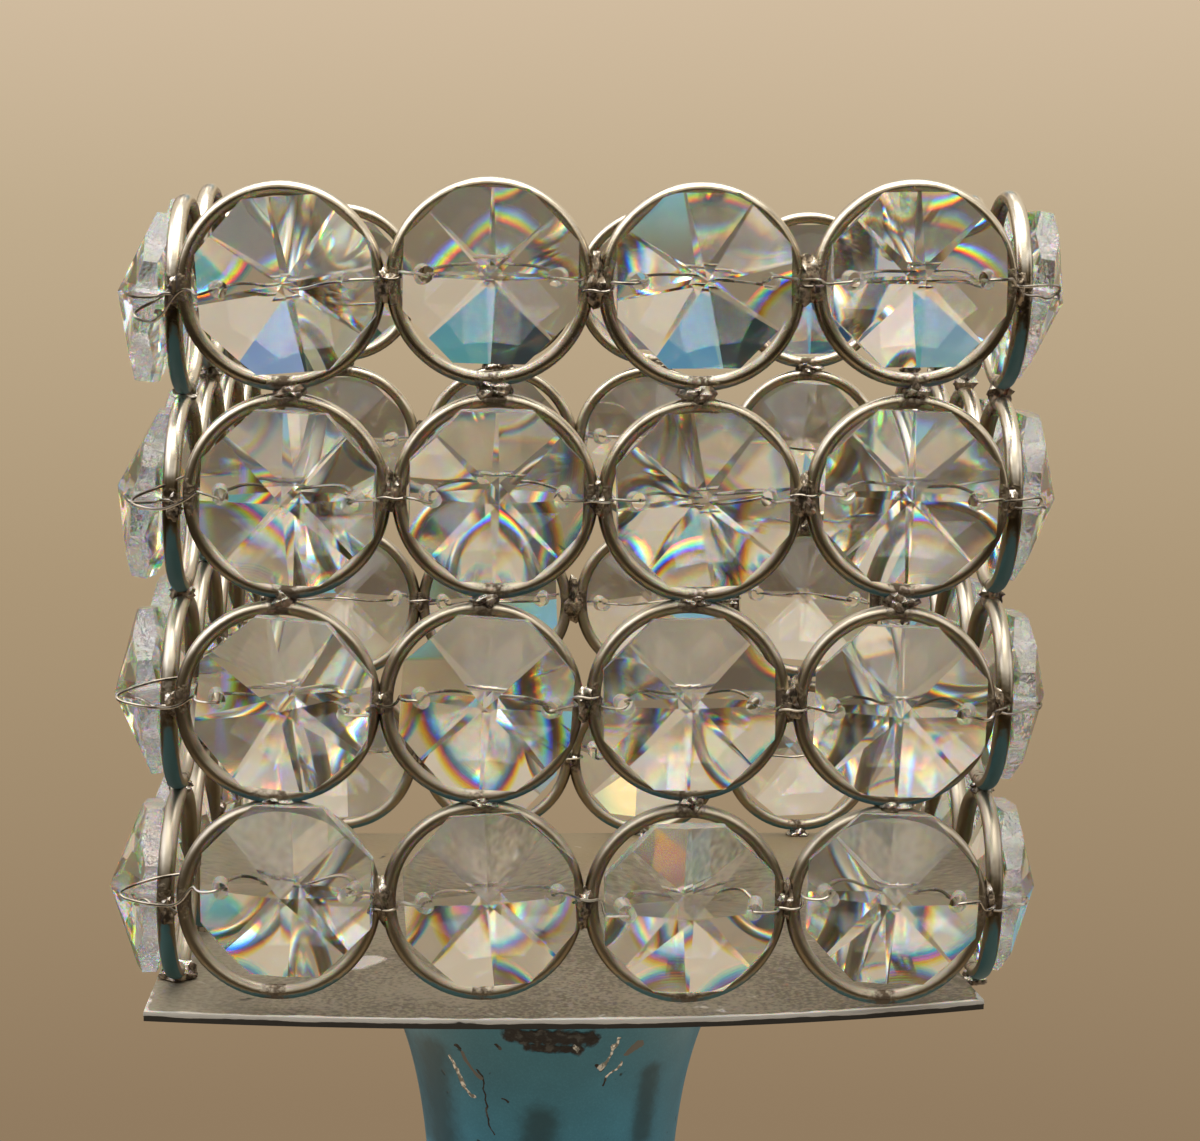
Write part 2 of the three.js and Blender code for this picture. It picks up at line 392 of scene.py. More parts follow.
# Each mark: the photograph's pixels at its two ends, and its half width in millimetres
SCRAPES = (
    (448, 1063, 459, 1080, 0.24),
    (458, 1079, 466, 1092, 0.30),
    (464, 1092, 473, 1104, 0.22),
    (619, 1037, 606, 1059, 0.22),
    (604, 1061, 600, 1068, 0.42),
    (624, 1063, 609, 1079, 0.15),
    (574, 1042, 578, 1046, 0.25),
)
GREY_MARKS = (
    (461, 1058, 478, 1082, 0.26),
    (642, 1046, 629, 1055, 0.42),
)
DARK_LINES = (
    (477, 1072, 484, 1098, 0.10),
    (483, 1096, 492, 1141, 0.13),
    (497, 1044, 500, 1048, 0.22),
    (455, 1050, 458, 1054, 0.30),
    (597, 1064, 601, 1069, 0.36),
    (609, 1079, 604, 1088, 0.12),
    (500, 1104, 506, 1106, 0.14),
)
BARE_PATCHES = (
    (512, 1030, 590, 1033, 1.5),
    (528, 1042, 578, 1045, 0.9),
)
# Dark streaks down the stem: a painted dark reflection on the right, painted shade at the left edge and a
# darker streak in the middle
DARK_STREAKS = (
    (652, 1082, 643, 1150, 2.0),
    (541, 1124, 536, 1160, 3.4),
    (430, 1066, 440, 1160, 3.4),
)


def near_segment(place, start, end):
    """Distance of a point from the straight line between two others."""
    run = np.array(end) - np.array(start)
    offset = place.vector("SUBTRACT", place, tuple(start))
    share = place.vector("DOT_PRODUCT", offset, tuple(run / (run @ run)), out="Value")
    held = share.add("Clamp", {}, {0: share})
    step = held.add("VectorMath", {"operation": "SCALE"}, {0: tuple(run), "Scale": held})
    return place.vector("DISTANCE", offset, step, out="Value")


def wandered(place, scale, reach):
    """A place shifted by up to half the reach each way, so that a mark drawn there isn't straight."""
    noise = place.add("TexNoise", {}, {"Vector": place, "Scale": scale, "Detail": 3.0}, "Color")
    centred = place.vector("SUBTRACT", noise, (0.5, 0.5, 0.5))
    return place.vector("MULTIPLY_ADD", centred, (reach, reach, reach), place)


def near_lines(place, lines, core=0.4):
    """1 along any of some lines between photograph pixels, taken on the stem's front, fading to 0.

    The core is the share of a line's half width that is whole. Only the front half of the stem has these
    marks, so the depth of a point doesn't count."""
    flat = place.vector("MULTIPLY", place, (1, 0, 1))
    masks = []
    for *ends, reach in lines:
        start, end = seen_on(np.reshape(ends, (2, 2)), STEM_FRONT) * (1, 0, 1)
        masks.append(near_segment(flat, start, end).ease(reach * MM, reach * MM * core))
    return reduce(Value.most, masks) * place.axis(1).ease(0, FRONT_FADE)


@finish
def stem_enamel(place):
    colour, height = enamel_coat(place)
    ragged = place.noise(1100, 4.0)
    rough = ragged - 0.5
    streak = place.noise(260, 4.0) - 0.5
    # Painted dark reflection and painted shade in streaks down the stem
    dark_streak = (near_lines(place, DARK_STREAKS, 0) + rough * 0.5).ease(0.05, 1.0)
    torn = wandered(place, MARK_WAVES, MARK_WANDER)
    scrape = near_lines(torn, SCRAPES)
    scraped = (scrape + rough * 2.6).ease(0.40, 0.80) * scrape.ease(0.05, 0.35)
    rubbed = (near_lines(torn, GREY_MARKS) + rough * 1.4).ease(0.30, 0.70)
    patch = near_lines(place, BARE_PATCHES, 0.1)
    bare = (patch + rough * 1.6 + streak * 1.4).ease(0.16, 0.66) * patch.ease(0.02, 0.18)
    dark = bare.most((near_lines(torn, DARK_LINES) + rough * 0.7).ease(0.35, 0.65))
    streaked_coat = (dark_streak * 0.8).colour(colour, STREAK_COLOUR)
    burnt = ragged.ease(0.50, 0.66).colour(BARE_METAL, BARE_WORN)
    marked = rubbed.colour(dark.colour(streaked_coat, burnt), RUBBED_METAL)
    shine = place.noise(2300).ease(0.42, 0.60).colour(SCRAPED_DULL, SCRAPED_METAL)
    return place.cover(
        Base_Color=scraped.colour(marked, shine),
        Metallic=scraped * 0.5 + 0.08,
        Roughness=place.noise(300) * 0.16 + dark * 0.3 + 0.24,
        Coat_Weight=0.08 - scraped.most(dark) * 0.08,
        Coat_Roughness=0.12,
        Specular_IOR_Level=0.25,
        Normal=(height + bare * ragged * 6 - scraped * 0.8).bump(0.05 * MM),
    )


def stem_profile(low, high):
    """The tapped hole, then the outside: a waist with an exponential bell towards each end."""
    length = high.z - low.z
    rise = np.concatenate([np.linspace(*part, endpoint=False) for part in STEM_PARTS] + [[1]])
    above = rise * length
    top = (STEM_TOP_RADIUS - STEM_WAIST_RADIUS) * np.exp((above - length) / STEM_TOP_FLARE)
    base = (STEM_BASE_RADIUS - STEM_WAIST_RADIUS) * np.exp(-above / STEM_BASE_FLARE)
    hole = [(BOLT_HOLE_RADIUS, low.z + STEM_THREAD_DEPTH), (BOLT_HOLE_RADIUS, low.z)]
    return hole + list(zip(STEM_WAIST_RADIUS + top + base, low.z + above))


stem_rings = turned(stem_profile(*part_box("pedestal_stem")), CAST_SIDES)
piece("flared_stem", [skin(stem_rings)], stem_enamel, "enamel", "pedestal_stem")


# Braze ring
# The fillet of brass braze that the torch ran round the stem's bell, under the plate: dark, rough
# and uneven.
BRAZE_DARK = (0.035, 0.028, 0.024)
BRAZE_WORN = (0.26, 0.20, 0.15)
BRAZE_SIDES = 160
BRAZE_SWELL = 0.006
# Two points of the fillet's hollow, as shares of its width and its height
BRAZE_HOLLOW = ((0.35, 0.3), (0.7, 0.65))


@finish
def rough_braze(place):
    lump = place.noise(700, 4.0)
    colour = lump.ease(0.42, 0.66).colour(BRAZE_DARK, BRAZE_WORN)
    rough = 0.75 - lump * 0.3
    return place.cover(Base_Color=colour, Metallic=0.7, Roughness=rough, Normal=lump.bump(0.4 * MM))


braze_low, braze_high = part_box("stem_braze_ring")
braze_inner = STEM_TOP_RADIUS
braze_wide = braze_high.x - braze_inner
braze_tall = braze_high.z - braze_low.z
braze_profile = [(braze_inner, braze_low.z)]
for out, up in BRAZE_HOLLOW:
    braze_profile.append((braze_inner + out * braze_wide, braze_low.z + up * braze_tall))
braze_profile += [(braze_high.x, braze_high.z), (braze_inner, braze_high.z)]
braze_rings = turned(braze_profile, BRAZE_SIDES)
braze_swell = np.random.default_rng(5).normal(0, 1, (1, BRAZE_SIDES, 1))
braze_swell = 1 + BRAZE_SWELL * (braze_swell + np.roll(braze_swell, 1, 1) + np.roll(braze_swell, 2, 1))
braze_rings[1:3, :, :2] *= braze_swell[0]
piece("braze_fillet", [skin(braze_rings, looped=True)], rough_braze, "braze", "stem_braze_ring")


# Candle plate
# A square of thin tinned sheet, snipped out by hand and brazed on the stem. It has bowed down a little
# along the front, its near right corner is curled up, and the snips left a burr along the top edge. The
# front burr has a painted highlight and the cut edge all round painted shade. The left end has painted
# light that makes it paler, and the far half a painted reflection of the backdrop's colour.
PLATE_SIDE = 70.1 * MM
PLATE_TURN = math.radians(2)
PLATE_SAG = 0.95 * MM
PLATE_CURL = 0.5 * MM
PLATE_ROWS = 22
PLATE_EDGE_CELLS = 60
PLATE_BURR = 0.10 * MM
# Heights of the cut edge's points as shares of the thickness, and how far in the burr's last two are
EDGE_RISES = (0.45, 0.65, 1)
BURR_INSETS = np.array((0.25, 0.6)) * MM
# How much of the burr's painted highlight each of its rows gets
BURR_HIGHLIGHT_SHARES = np.array((0.7, 1, 0.7))
CURL_FROM = 1.2
CURL_OVER = 0.8
TIN_DARK = (0.126, 0.104, 0.070)
TIN_PALE = (0.275, 0.234, 0.167)
# Painted light that makes the left end paler
TIN_LIT_END = (0.40, 0.352, 0.260)
# Painted reflection of the backdrop on the far half
TIN_FAR_REFLECTION = (0.36, 0.280, 0.164)
# Painted highlight on the front burr
TIN_BURR_HIGHLIGHT = (0.97, 0.93, 0.85)
TIN_DRIP = (0.72, 0.67, 0.63)
# Painted shade on the cut edge
TIN_EDGE_SHADE = (0.050, 0.046, 0.040)
TIN_STAIN = (0.055, 0.042, 0.030)
# Solder that dripped on the plate: the photograph's pixels at its two ends, and its half width
DRIP_SEEN = ((356, 964), (372, 958))
DRIP_REACH = 1.5 * MM
# Where the left end's painted light and the far half's painted reflection begin and are full
ENDS_FROM, ENDS_FULL = -10 * MM, -36 * MM
FAR_FROM, FAR_FULL = -4 * MM, 32 * MM
FAR_SHARE = 0.94

plate_low, plate_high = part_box("candle_plate")
plate_x = (plate_low.x + plate_high.x) / 2
plate_y = (plate_low.y + plate_high.y) / 2


def plate_rings():
    """Square outlines from the middle out along the underside, up the edge, and back over the top.

    Along each outline the points run evenly round the square. The height follows the sheet's warp: a
    sag along the front edge, and a curl that starts on a slanting line near the right corner."""
    half = PLATE_SIDE / 2
    share = np.linspace(0.02, 1, PLATE_ROWS)
    edge = (half, half + PLATE_BURR / 2, half)
    top = np.concatenate((half - BURR_INSETS, share[-2::-1] * half))
    reach = np.concatenate((share * half, edge, top))
    rise = np.concatenate((np.zeros_like(share), EDGE_RISES, np.ones_like(top)))
    side = np.linspace(-1, 1, PLATE_EDGE_CELLS, endpoint=False)
    whole = np.ones(PLATE_EDGE_CELLS)
    across = np.concatenate((side, whole, -side, -whole))
    along = np.concatenate((-whole, side, whole, -side))
    x = np.outer(reach, across)
    y = np.outer(reach, along)
    front = np.clip(-y / half, 0, 1)
    sag = PLATE_SAG * front**3 * (1 - (x / half) ** 2)
    curl = PLATE_CURL * np.clip(((x - y) / half - CURL_FROM) / CURL_OVER, 0, 1) ** 2
    z = (plate_low.z + rise * (plate_high.z - plate_low.z))[:, None] + curl - sag
    turn_x = x * math.cos(PLATE_TURN) - y * math.sin(PLATE_TURN) + plate_x
    turn_y = x * math.sin(PLATE_TURN) + y * math.cos(PLATE_TURN) + plate_y
    # Painted highlight on the burr, kept to the front edge
    burr = np.zeros(x.shape)
    burr[PLATE_ROWS + 1:PLATE_ROWS + 4] = BURR_HIGHLIGHT_SHARES[:, None]
    # Painted shade on the cut edge all round
    cut = np.zeros(reach.shape)
    cut[PLATE_ROWS - 1:PLATE_ROWS + 2] = 1
    return np.stack((turn_x, turn_y, z), axis=-1), burr * front**6, cut


def mark(built, name, values):
    """Stores one number for each point of a piece under a name that its finish reads."""
    values = np.append(values, np.zeros(len(built.data.vertices) - len(values)))
    built.data.attributes.new(name, "FLOAT", "POINT").data.foreach_set("value", values)


@finish
def tinned_sheet(place):
    burr, cut = (place.marked(name) for name in ("burr", "cut"))
    grain = place.noise(2400, 4.0)
    cloud = place.noise(90, 4.0)
    stain = place.noise(300).ease(0.70, 0.76)
    # Painted highlight along the front burr
    lit_mask = (burr + (place.noise(380) - 0.5) * 1.6).ease(0.30, 0.55)
    drip_from, drip_to = (tuple(end) for end in sunk_on(DRIP_SEEN, plate_high.z))
    drip = (near_segment(place, drip_from, drip_to) * (1 / DRIP_REACH) + (grain - 0.5) * 0.8).ease(0.9, 0.7)
    near = (grain * 0.6 + cloud * 0.4).ease(0.40, 0.60).colour(TIN_DARK, TIN_PALE)
    # Painted reflection of the backdrop on the far half
    tin_and_reflection = (place.axis(1).ease(FAR_FROM, FAR_FULL) * FAR_SHARE).colour(near, TIN_FAR_REFLECTION)
    # Painted light that makes the left end paler
    rubbed = (place.axis(0).ease(ENDS_FROM, ENDS_FULL) + (grain - 0.5)).ease(0, 1.4)
    plain = drip.colour(stain.colour(rubbed.colour(tin_and_reflection, TIN_LIT_END), TIN_STAIN), TIN_DRIP)
    return place.cover(
        # Painted shade on the cut edge and painted highlight on the front burr
        Base_Color=lit_mask.colour(cut.ease(0.3, 0.7).colour(plain, TIN_EDGE_SHADE), TIN_BURR_HIGHLIGHT),
        Metallic=0.55,
        Roughness=0.50 - lit_mask.most(drip) * 0.25 - cloud * 0.1,
        Normal=grain.bump(0.03 * MM, 0.6),
    )


plate_points, plate_burr_highlight, plate_edge_shade = plate_rings()
tin_plate = piece("tin_plate", [skin(plate_points)], tinned_sheet, "tinned_plate", "candle_plate")
mark(tin_plate, "burr", plate_burr_highlight.ravel())
mark(tin_plate, "cut", np.repeat(plate_edge_shade, plate_points.shape[1]))


# Ring rows
# Each panel is four rows of four rings bent from flattened wire. The plating is champagne coloured,
# with painted shade on the flanks, a painted highlight where the wire faces up and painted shade over the
# lower rows, which are also rougher. It is burnt by the torch at the joints, and the stem's turquoise spray
# has caught the undersides.
SIDES = ("front", "right", "back", "left")
FRONT, RIGHT, LEFT = 0, 1, 3
COLUMNS = 4
ROWS = 4
CAGE = (len(SIDES), ROWS, COLUMNS)
RING_TURNS = 72
WIRE_SIDES = 14
WIRE_RADIAL = 0.62 * MM
WIRE_AXIAL = 0.74 * MM
RING_SLIP = 0.16 * MM
BURN_REACH = 0.20
FRONT_RINGS_SEEN = (
    ((281, 286), (490, 282), (702, 287), (915, 284)),
    ((287, 496), (495, 496), (700, 501), (907, 497)),
    ((278, 702), (481, 703), (688, 700), (894, 706)),
    ((279, 899), (483, 900), (685, 903), (886, 905)),
)
WIRE_CROWN = (0.335, 0.266, 0.168)
# Painted shade on the wire's flanks
WIRE_FLANK_SHADE = (0.122, 0.091, 0.052)
WIRE_BURNT = (0.110, 0.080, 0.052)
# Painted highlight where the wire faces up
WIRE_TOP_HIGHLIGHT = (0.95, 0.87, 0.72)
OVERSPRAY = (0.040, 0.125, 0.140)
SPRAY_FROM = np.array((0, -0.6, -0.8))
SPRAY_SHARE = 0.72
SPRAY_BY_ROW = 0.06
SPRAY_AT_EDGES = 1.7
# How far the side panels stand off their places to the right, by row: the whole cage leans a little
SIDE_LEAN = np.array((0.40, 0.13, -0.20, -0.60)) * MM
# How far the columns next to the front corners have sunk, by row
LEFT_SINKS = np.array((1.6, 1.2, 0.8, 0.4)) * MM
RIGHT_SINKS = np.array((0.5, 0.7, 0.5, 0.2)) * MM

row_low, row_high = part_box("front_ring_row_1")
ring_outer = (row_high.z - row_low.z) / 2
ring_middle = ring_outer - WIRE_RADIAL
column_pitch = (row_high.x - row_low.x - 2 * ring_outer) / (COLUMNS - 1)
column_along = (np.arange(COLUMNS) - (COLUMNS - 1) / 2) * column_pitch
cage_x = (row_low.x + row_high.x) / 2
panel_reach = -(row_low.y + row_high.y) / 2
row_heights = np.array([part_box(f"front_ring_row_{row + 1}")[0].z + ring_outer for row in range(ROWS)])

# Middles of all rings in their panels, as side, row, column, then along and up
ring_at = np.empty((*CAGE, 2))
ring_at[..., 0] = column_along
ring_at[..., 1] = row_heights[:, None]
ring_slips = np.random.default_rng(11).normal(0, RING_SLIP, ring_at.shape)
ring_at += ring_slips.clip(-2 * RING_SLIP, 2 * RING_SLIP)
ring_at[LEFT, :, -1, 1] -= LEFT_SINKS
ring_at[RIGHT, :, 0, 1] -= RIGHT_SINKS
front_seen = seen_on(FRONT_RINGS_SEEN, -panel_reach)
ring_at[FRONT] = front_seen[..., [0, 2]] - np.array((cage_x, 0))


def stand(points, side):
    """Points of a panel, as along the row, up and out of the ring plane, put in place on a side."""
    along, up, out = np.moveaxis(points, -1, 0)
    turn = side * math.pi / 2
    lean = np.interp(up, row_heights[::-1], SIDE_LEAN[::-1]) * math.sin(turn)
    reach = panel_reach + out + lean
    x = cage_x + along * math.cos(turn) + reach * math.sin(turn)
    y = along * math.sin(turn) - reach * math.cos(turn)
    return np.stack((x, y, up), axis=-1)


ring_turn = around(RING_TURNS)
wire_turn = around(WIRE_SIDES)


def wire_ring(along, up):
    """A ring about the outward axis: an oval wire section carried clockwise round a circle from the top."""
    radius = ring_middle + WIRE_RADIAL * np.cos(wire_turn)
    out = np.tile(WIRE_AXIAL * np.sin(wire_turn), (RING_TURNS, 1))
    across = along + np.outer(np.sin(ring_turn), radius)
    return np.stack((across, up + np.outer(np.cos(ring_turn), radius), out), axis=-1)


def ring_burn(row):
    """How burnt a ring of this row is round its turn: a bell at each joint. The top row has none on top."""
    joints = np.arange(0 if row else 1, 4) * math.pi / 2
    apart = np.abs((ring_turn[:, None] - joints + math.pi) % (2 * math.pi) - math.pi)
    return np.exp(-((apart / BURN_REACH) ** 2)).max(axis=1)


def ring_spray(side, row, column):
    """How squarely each point of a ring faced the spray, times a share that is largest low down and at
    the front edges."""
    edge = (side, column) in ((RIGHT, 0), (LEFT, COLUMNS - 1))
    share = (SPRAY_SHARE + SPRAY_BY_ROW * row) * (SPRAY_AT_EDGES if edge else 1)
    turn = side * math.pi / 2
    spray_along = SPRAY_FROM[0] * math.cos(turn) + SPRAY_FROM[1] * math.sin(turn)
    spray_out = SPRAY_FROM[0] * math.sin(turn) - SPRAY_FROM[1] * math.cos(turn)
    across = np.sin(ring_turn) * spray_along + np.cos(ring_turn) * SPRAY_FROM[2]
    facing = np.outer(across, np.cos(wire_turn)) + np.sin(wire_turn) * spray_out
    low = 0.5 - 0.5 * np.cos(ring_turn)
    return (share * facing * low[:, None]).ravel()


@finish
def champagne_wire(place):
    burnt, crown, raised, caught = (place.marked(name) for name in ("burnt", "crown", "raised", "caught"))
    cloud = place.noise(420, 4.0)
    speck = place.noise(2300)
    spray = (caught + (place.noise(170) - 0.5) * 0.35 + (speck - 0.5) * 0.25).ease(0.55, 0.75)
    crust = (burnt + (speck - 0.5) * 1.5 + (cloud - 0.5) * 1.6).ease(0.50, 1.15)
    # Painted shade over the lower rows, which are also rougher
    dull_and_shaded = place.axis(2).ease(row_heights[0], row_heights[-1])
    # Painted shade on the flanks; the crown keeps the plating's colour
    lit_mask = (crown + (cloud - 0.5) * 0.5).ease(0.45, 0.95) * (1 - dull_and_shaded * 0.35)
    # Painted highlight where the wire faces up
    top_highlight = (raised + (cloud - 0.5) * 0.5).ease(0.08, 0.56) * (1 - dull_and_shaded * 0.55)
    shaded_plating = top_highlight.colour(lit_mask.colour(WIRE_FLANK_SHADE, WIRE_CROWN), WIRE_TOP_HIGHLIGHT)
    colour = crust.colour(spray.colour(shaded_plating, OVERSPRAY), WIRE_BURNT)
    return place.cover(
        Base_Color=colour,
        Metallic=1 - spray * 0.85 - crust * 0.1,
        Roughness=cloud * 0.12 + crust * 0.25 + spray * 0.25 + dull_and_shaded * 0.14 + 0.20,
        Normal=(speck * (crust * 2 + 0.2)).bump(0.05 * MM),
    )


for side, side_name in enumerate(SIDES):
    for row in range(ROWS):
        rings = [skin(stand(wire_ring(*ring_at[side, row, c]), side), looped=True) for c in range(COLUMNS)]
        name = f"{side_name}_rings_{row + 1}"
        built = piece(name, rings, champagne_wire, "ring_wire", f"{side_name}_ring_row_{row + 1}")
        sprays = [ring_spray(side, row, c) for c in range(COLUMNS)]
        mark(built, "burnt", np.tile(np.repeat(ring_burn(row), WIRE_SIDES), COLUMNS))
        # How much the wire faces out of the ring plane; the flanks get painted shade
        mark(built, "crown", np.tile(np.abs(np.sin(wire_turn)), RING_TURNS * COLUMNS))
        # How much the wire faces up, for the painted highlight
        mark(built, "raised", np.tile(np.outer(np.cos(ring_turn), np.cos(wire_turn)).ravel(), COLUMNS))
        mark(built, "caught", np.concatenate(sprays))


# Solder
# Lumpy beads where rings meet: between neighbours in a row, between rows, at the cage's upright edges,
# and where the lowest rings stand on the plate. Brown and pitted, with a painted highlight on their tops.
BEAD_ROUND = 14
BEAD_LEVELS = 9
# How much each of three waves swells a bead
BEAD_WAVES = (0.16, 0.14, 0.10)
SOLDER_DARK = (0.055, 0.041, 0.028)
SOLDER_BROWN = (0.36, 0.28, 0.19)
# The painted highlight on the beads' upward faces
SOLDER_HIGHLIGHT = (0.88, 0.82, 0.71)
# Half sizes of the beads between neighbours, between rows and at the upright edges, in millimetres:
# along the row, up and out, where a pair is a range
JOINT_BEAD = (0.92, (1.4, 2.1), 1.08)
ROW_BEAD = ((1.0, 1.6), 0.80, 1.0)
EDGE_BEAD = (0.6, (0.9, 1.6), 0.6)
JOINT_WANDER = 0.2 * MM
ROW_WANDER = 0.25 * MM
EDGE_WANDER = 0.4 * MM
EDGE_BEYOND = 0.1 * MM
EDGE_BEHIND = 0.3 * MM
FOOT_LIFT = 0.15 * MM
LEFT_FOOT_SIZE = 1.5


def bead_sizes(kind, draw):
    """Half sizes of a bead, where each range gives one size from it."""
    return np.array([draw.uniform(*size) if isinstance(size, tuple) else size for size in kind]) * MM


def bead(middle, half_sizes, draw):
    """A lump: a ball of latitude rings, stretched to its half sizes and swelled by a few waves."""
    latitude = np.linspace(-math.pi / 2, math.pi / 2, BEAD_LEVELS + 2)[1:-1, None]
    longitude = around(BEAD_ROUND)[None, :]
    phase = draw.uniform(0, 2 * math.pi, 3)
    swell = 1 + BEAD_WAVES[0] * np.sin(3 * longitude + phase[0]) * np.cos(latitude)
    waves = BEAD_WAVES[1] * np.sin(5 * latitude + 2 * longitude + phase[1])
    swell += waves + BEAD_WAVES[2] * np.sin(4 * longitude + phase[2])
    ball = np.stack((
        swell * np.cos(latitude) * np.cos(longitude),
        swell * np.cos(latitude) * np.sin(longitude),
        swell * np.sin(latitude) * np.ones_like(longitude),
    ), axis=-1)
    return np.array(middle) + ball * np.array(half_sizes)


@finish
def burnt_solder(place):
    lump = place.noise(1100, 4.0)
    pit = place.noise(2600, 2.0)
    up = place.add("NewGeometry", {}, {}, "Normal").axis(2)
    # Painted highlight on the beads' upward faces
    solder_highlight = (up + (lump - 0.5) * 1.6).ease(0.38, 0.75)
    brown = (lump * 0.6 + pit * 0.4).ease(0.40, 0.60).colour(SOLDER_DARK, SOLDER_BROWN)
    return place.cover(
        Base_Color=solder_highlight.colour(brown, SOLDER_HIGHLIGHT),
        Metallic=0.9,
        Roughness=0.48 - solder_highlight * 0.3,
        Normal=(lump * 0.6 + pit * 0.4).bump(0.35 * MM),
    )


solder_draw = np.random.default_rng(23)
for side, side_name in enumerate(SIDES):
    beads = []
    for row in range(ROWS):
        here = ring_at[side, row]
        for c in range(COLUMNS - 1):
            gap = np.linalg.norm(here[c + 1] - here[c]) - 2 * ring_outer
            middle = (here[c] + here[c + 1]) / 2 + solder_draw.normal(0, JOINT_WANDER, 2) * (0, 1)
            sizes = bead_sizes(JOINT_BEAD, solder_draw) + (gap / 2, gap, 0)
            beads.append(bead((*middle, 0), sizes, solder_draw))
        for c in range(COLUMNS):
            sizes = bead_sizes(ROW_BEAD, solder_draw)
            if row < ROWS - 1:
                below = ring_at[side, row + 1, c]
                gap = here[c, 1] - below[1] - 2 * ring_outer
                middle = (here[c] + below) / 2 + solder_draw.normal(0, ROW_WANDER, 2) * (1, 0)
                beads.append(bead((*middle, 0), sizes + (0, gap / 2, 0), solder_draw))
            elif side != FRONT:
                foot = (here[c, 0], plate_high.z + FOOT_LIFT, 0)
                larger = LEFT_FOOT_SIZE if (side, c) == (LEFT, COLUMNS - 1) else 1
                beads.append(bead(foot, sizes * larger, solder_draw))
        edge = here[-1] + np.array((ring_outer + EDGE_BEYOND, solder_draw.normal(0, EDGE_WANDER)))
        beads.append(bead((*edge, -EDGE_BEHIND), bead_sizes(EDGE_BEAD, solder_draw), solder_draw))
    shells = [skin(stand(one, side)) for one in beads]
    piece(f"{side_name}_solder", shells, burnt_solder, "braze")


# Crystals
# Octagon beads of clear cut crystal, one on the outside of each ring. Eight kite facets on each face
# fall from a middle point to the corners, a fine hole is drilled near two opposite sides, and the rim
# is left as it came from the mould, a little frosted.
CRYSTAL_FLATS = 14 * MM
CRYSTAL_THICKNESS = 7.0 * MM
CRYSTAL_HALF = CRYSTAL_THICKNESS / 2
FACET_FALL = 0.385
HOLE_REACH = 5.2 * MM
HOLE_RADIUS = 0.72 * MM
HOLE_SIDES = 12
RIM_FACES = 16
RIM_STEP = 2 * math.pi / RIM_FACES
CRYSTAL_CREASE = 4.0
CRYSTAL_LEAN = math.radians(4.0)
CRYSTAL_TURN = math.radians(3.0)
CRYSTAL_SLIP = 0.25 * MM
# The share of the lean that the front's top row keeps
STEADY_ROW = 0.2
# How far the front crystals' facets were ground askew, by row, counter-clockwise from outside, in degrees
FACET_TURNS = np.zeros(CAGE)
FACET_TURNS[FRONT] = ((8, 0, 12, 0), (4, 0, 6, 0), (16, 0, 0, 0), (0, 0, 0, 0))
FRONT_CRYSTALS_SEEN = (
    ((286, 285), (491, 276), (704, 281), (919, 280)),
    ((288, 498), (496, 496), (703, 500), (911, 497)),
    ((284, 704), (487, 703), (689, 704), (900, 711)),
    ((287, 890), (490, 899), (689, 908), (892, 898)),
)
# Leans of the crystals next to the front corners, by row, in degrees: tops outwards are above 0
LEFT_LEANS = (-7.5, -9.0, 5.7, -1.7)
RIGHT_LEANS = (9.8, 6.0, 3.4, 4.3)
LEFT_STAND_OFF = 0.60 * MM
RIGHT_STAND_OFF = -0.05 * MM
# The crystal as six glasses, each of one colour and a little more refracting than the one before
SPECTRUM = (
    (1.556, (0.45, 0.00, 0.00)),
    (1.566, (0.40, 0.22, 0.00)),
    (1.575, (0.15, 0.38, 0.00)),
    (1.585, (0.00, 0.30, 0.15)),
    (1.594, (0.00, 0.10, 0.40)),
    (1.604, (0.00, 0.00, 0.45)),
)
RIM_TINT = (0.86, 0.855, 0.925)
RIM_CLEAR = 0.92
HOLE_CHALK = (0.78, 0.74, 0.70)
HOLE_CLEAR = 0.85
CRYSTAL_IOR = 1.58
CRYSTAL_SHADE = (0.85, 0.85, 0.85)

strand_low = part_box("front_crystal_strand_1")[0]
crystal_out = -strand_low.y - panel_reach - CRYSTAL_HALF


def crystal_blank(askew):
    """A crystal about the outward axis: sixteen rim points, at the octagon's corners and the ridges' ends.

    The ridges run to the side middles, turned by the angle askew. On each face the rim's height is the
    point's less the fall times the reach along the middle line of the facet."""
    step = np.arange(RIM_FACES)
    corner = step % 2 == 1
    angle = step * RIM_STEP + np.where(corner, 0, askew)
    flat = CRYSTAL_FLATS / 2
    reach = np.where(corner, flat / math.cos(RIM_STEP), flat / math.cos(askew))
    along_facet = reach * np.where(corner, math.cos(askew), math.cos(RIM_STEP))
    rim = CRYSTAL_HALF - FACET_FALL * along_facet
    x, y = reach * np.cos(angle), reach * np.sin(angle)
    points = np.vstack((
        np.stack((x, y, -rim), axis=-1),
        np.stack((x, y, rim), axis=-1),
        [(0, 0, -CRYSTAL_HALF), (0, 0, CRYSTAL_HALF)],
    ))
    ahead = (step + 1) % RIM_FACES
    girdle = np.stack((step, ahead, ahead + RIM_FACES, step + RIM_FACES), axis=-1)
    middles = step[::2]
    past = (middles + 2) % RIM_FACES
    tip = np.full(len(middles), 2 * RIM_FACES)
    rear = np.stack((tip, past, middles + 1, middles), axis=-1)
    front = np.stack((tip + 1, middles + RIM_FACES, middles + RIM_FACES + 1, past + RIM_FACES), axis=-1)
    return points, np.vstack((girdle, rear, front)).tolist()


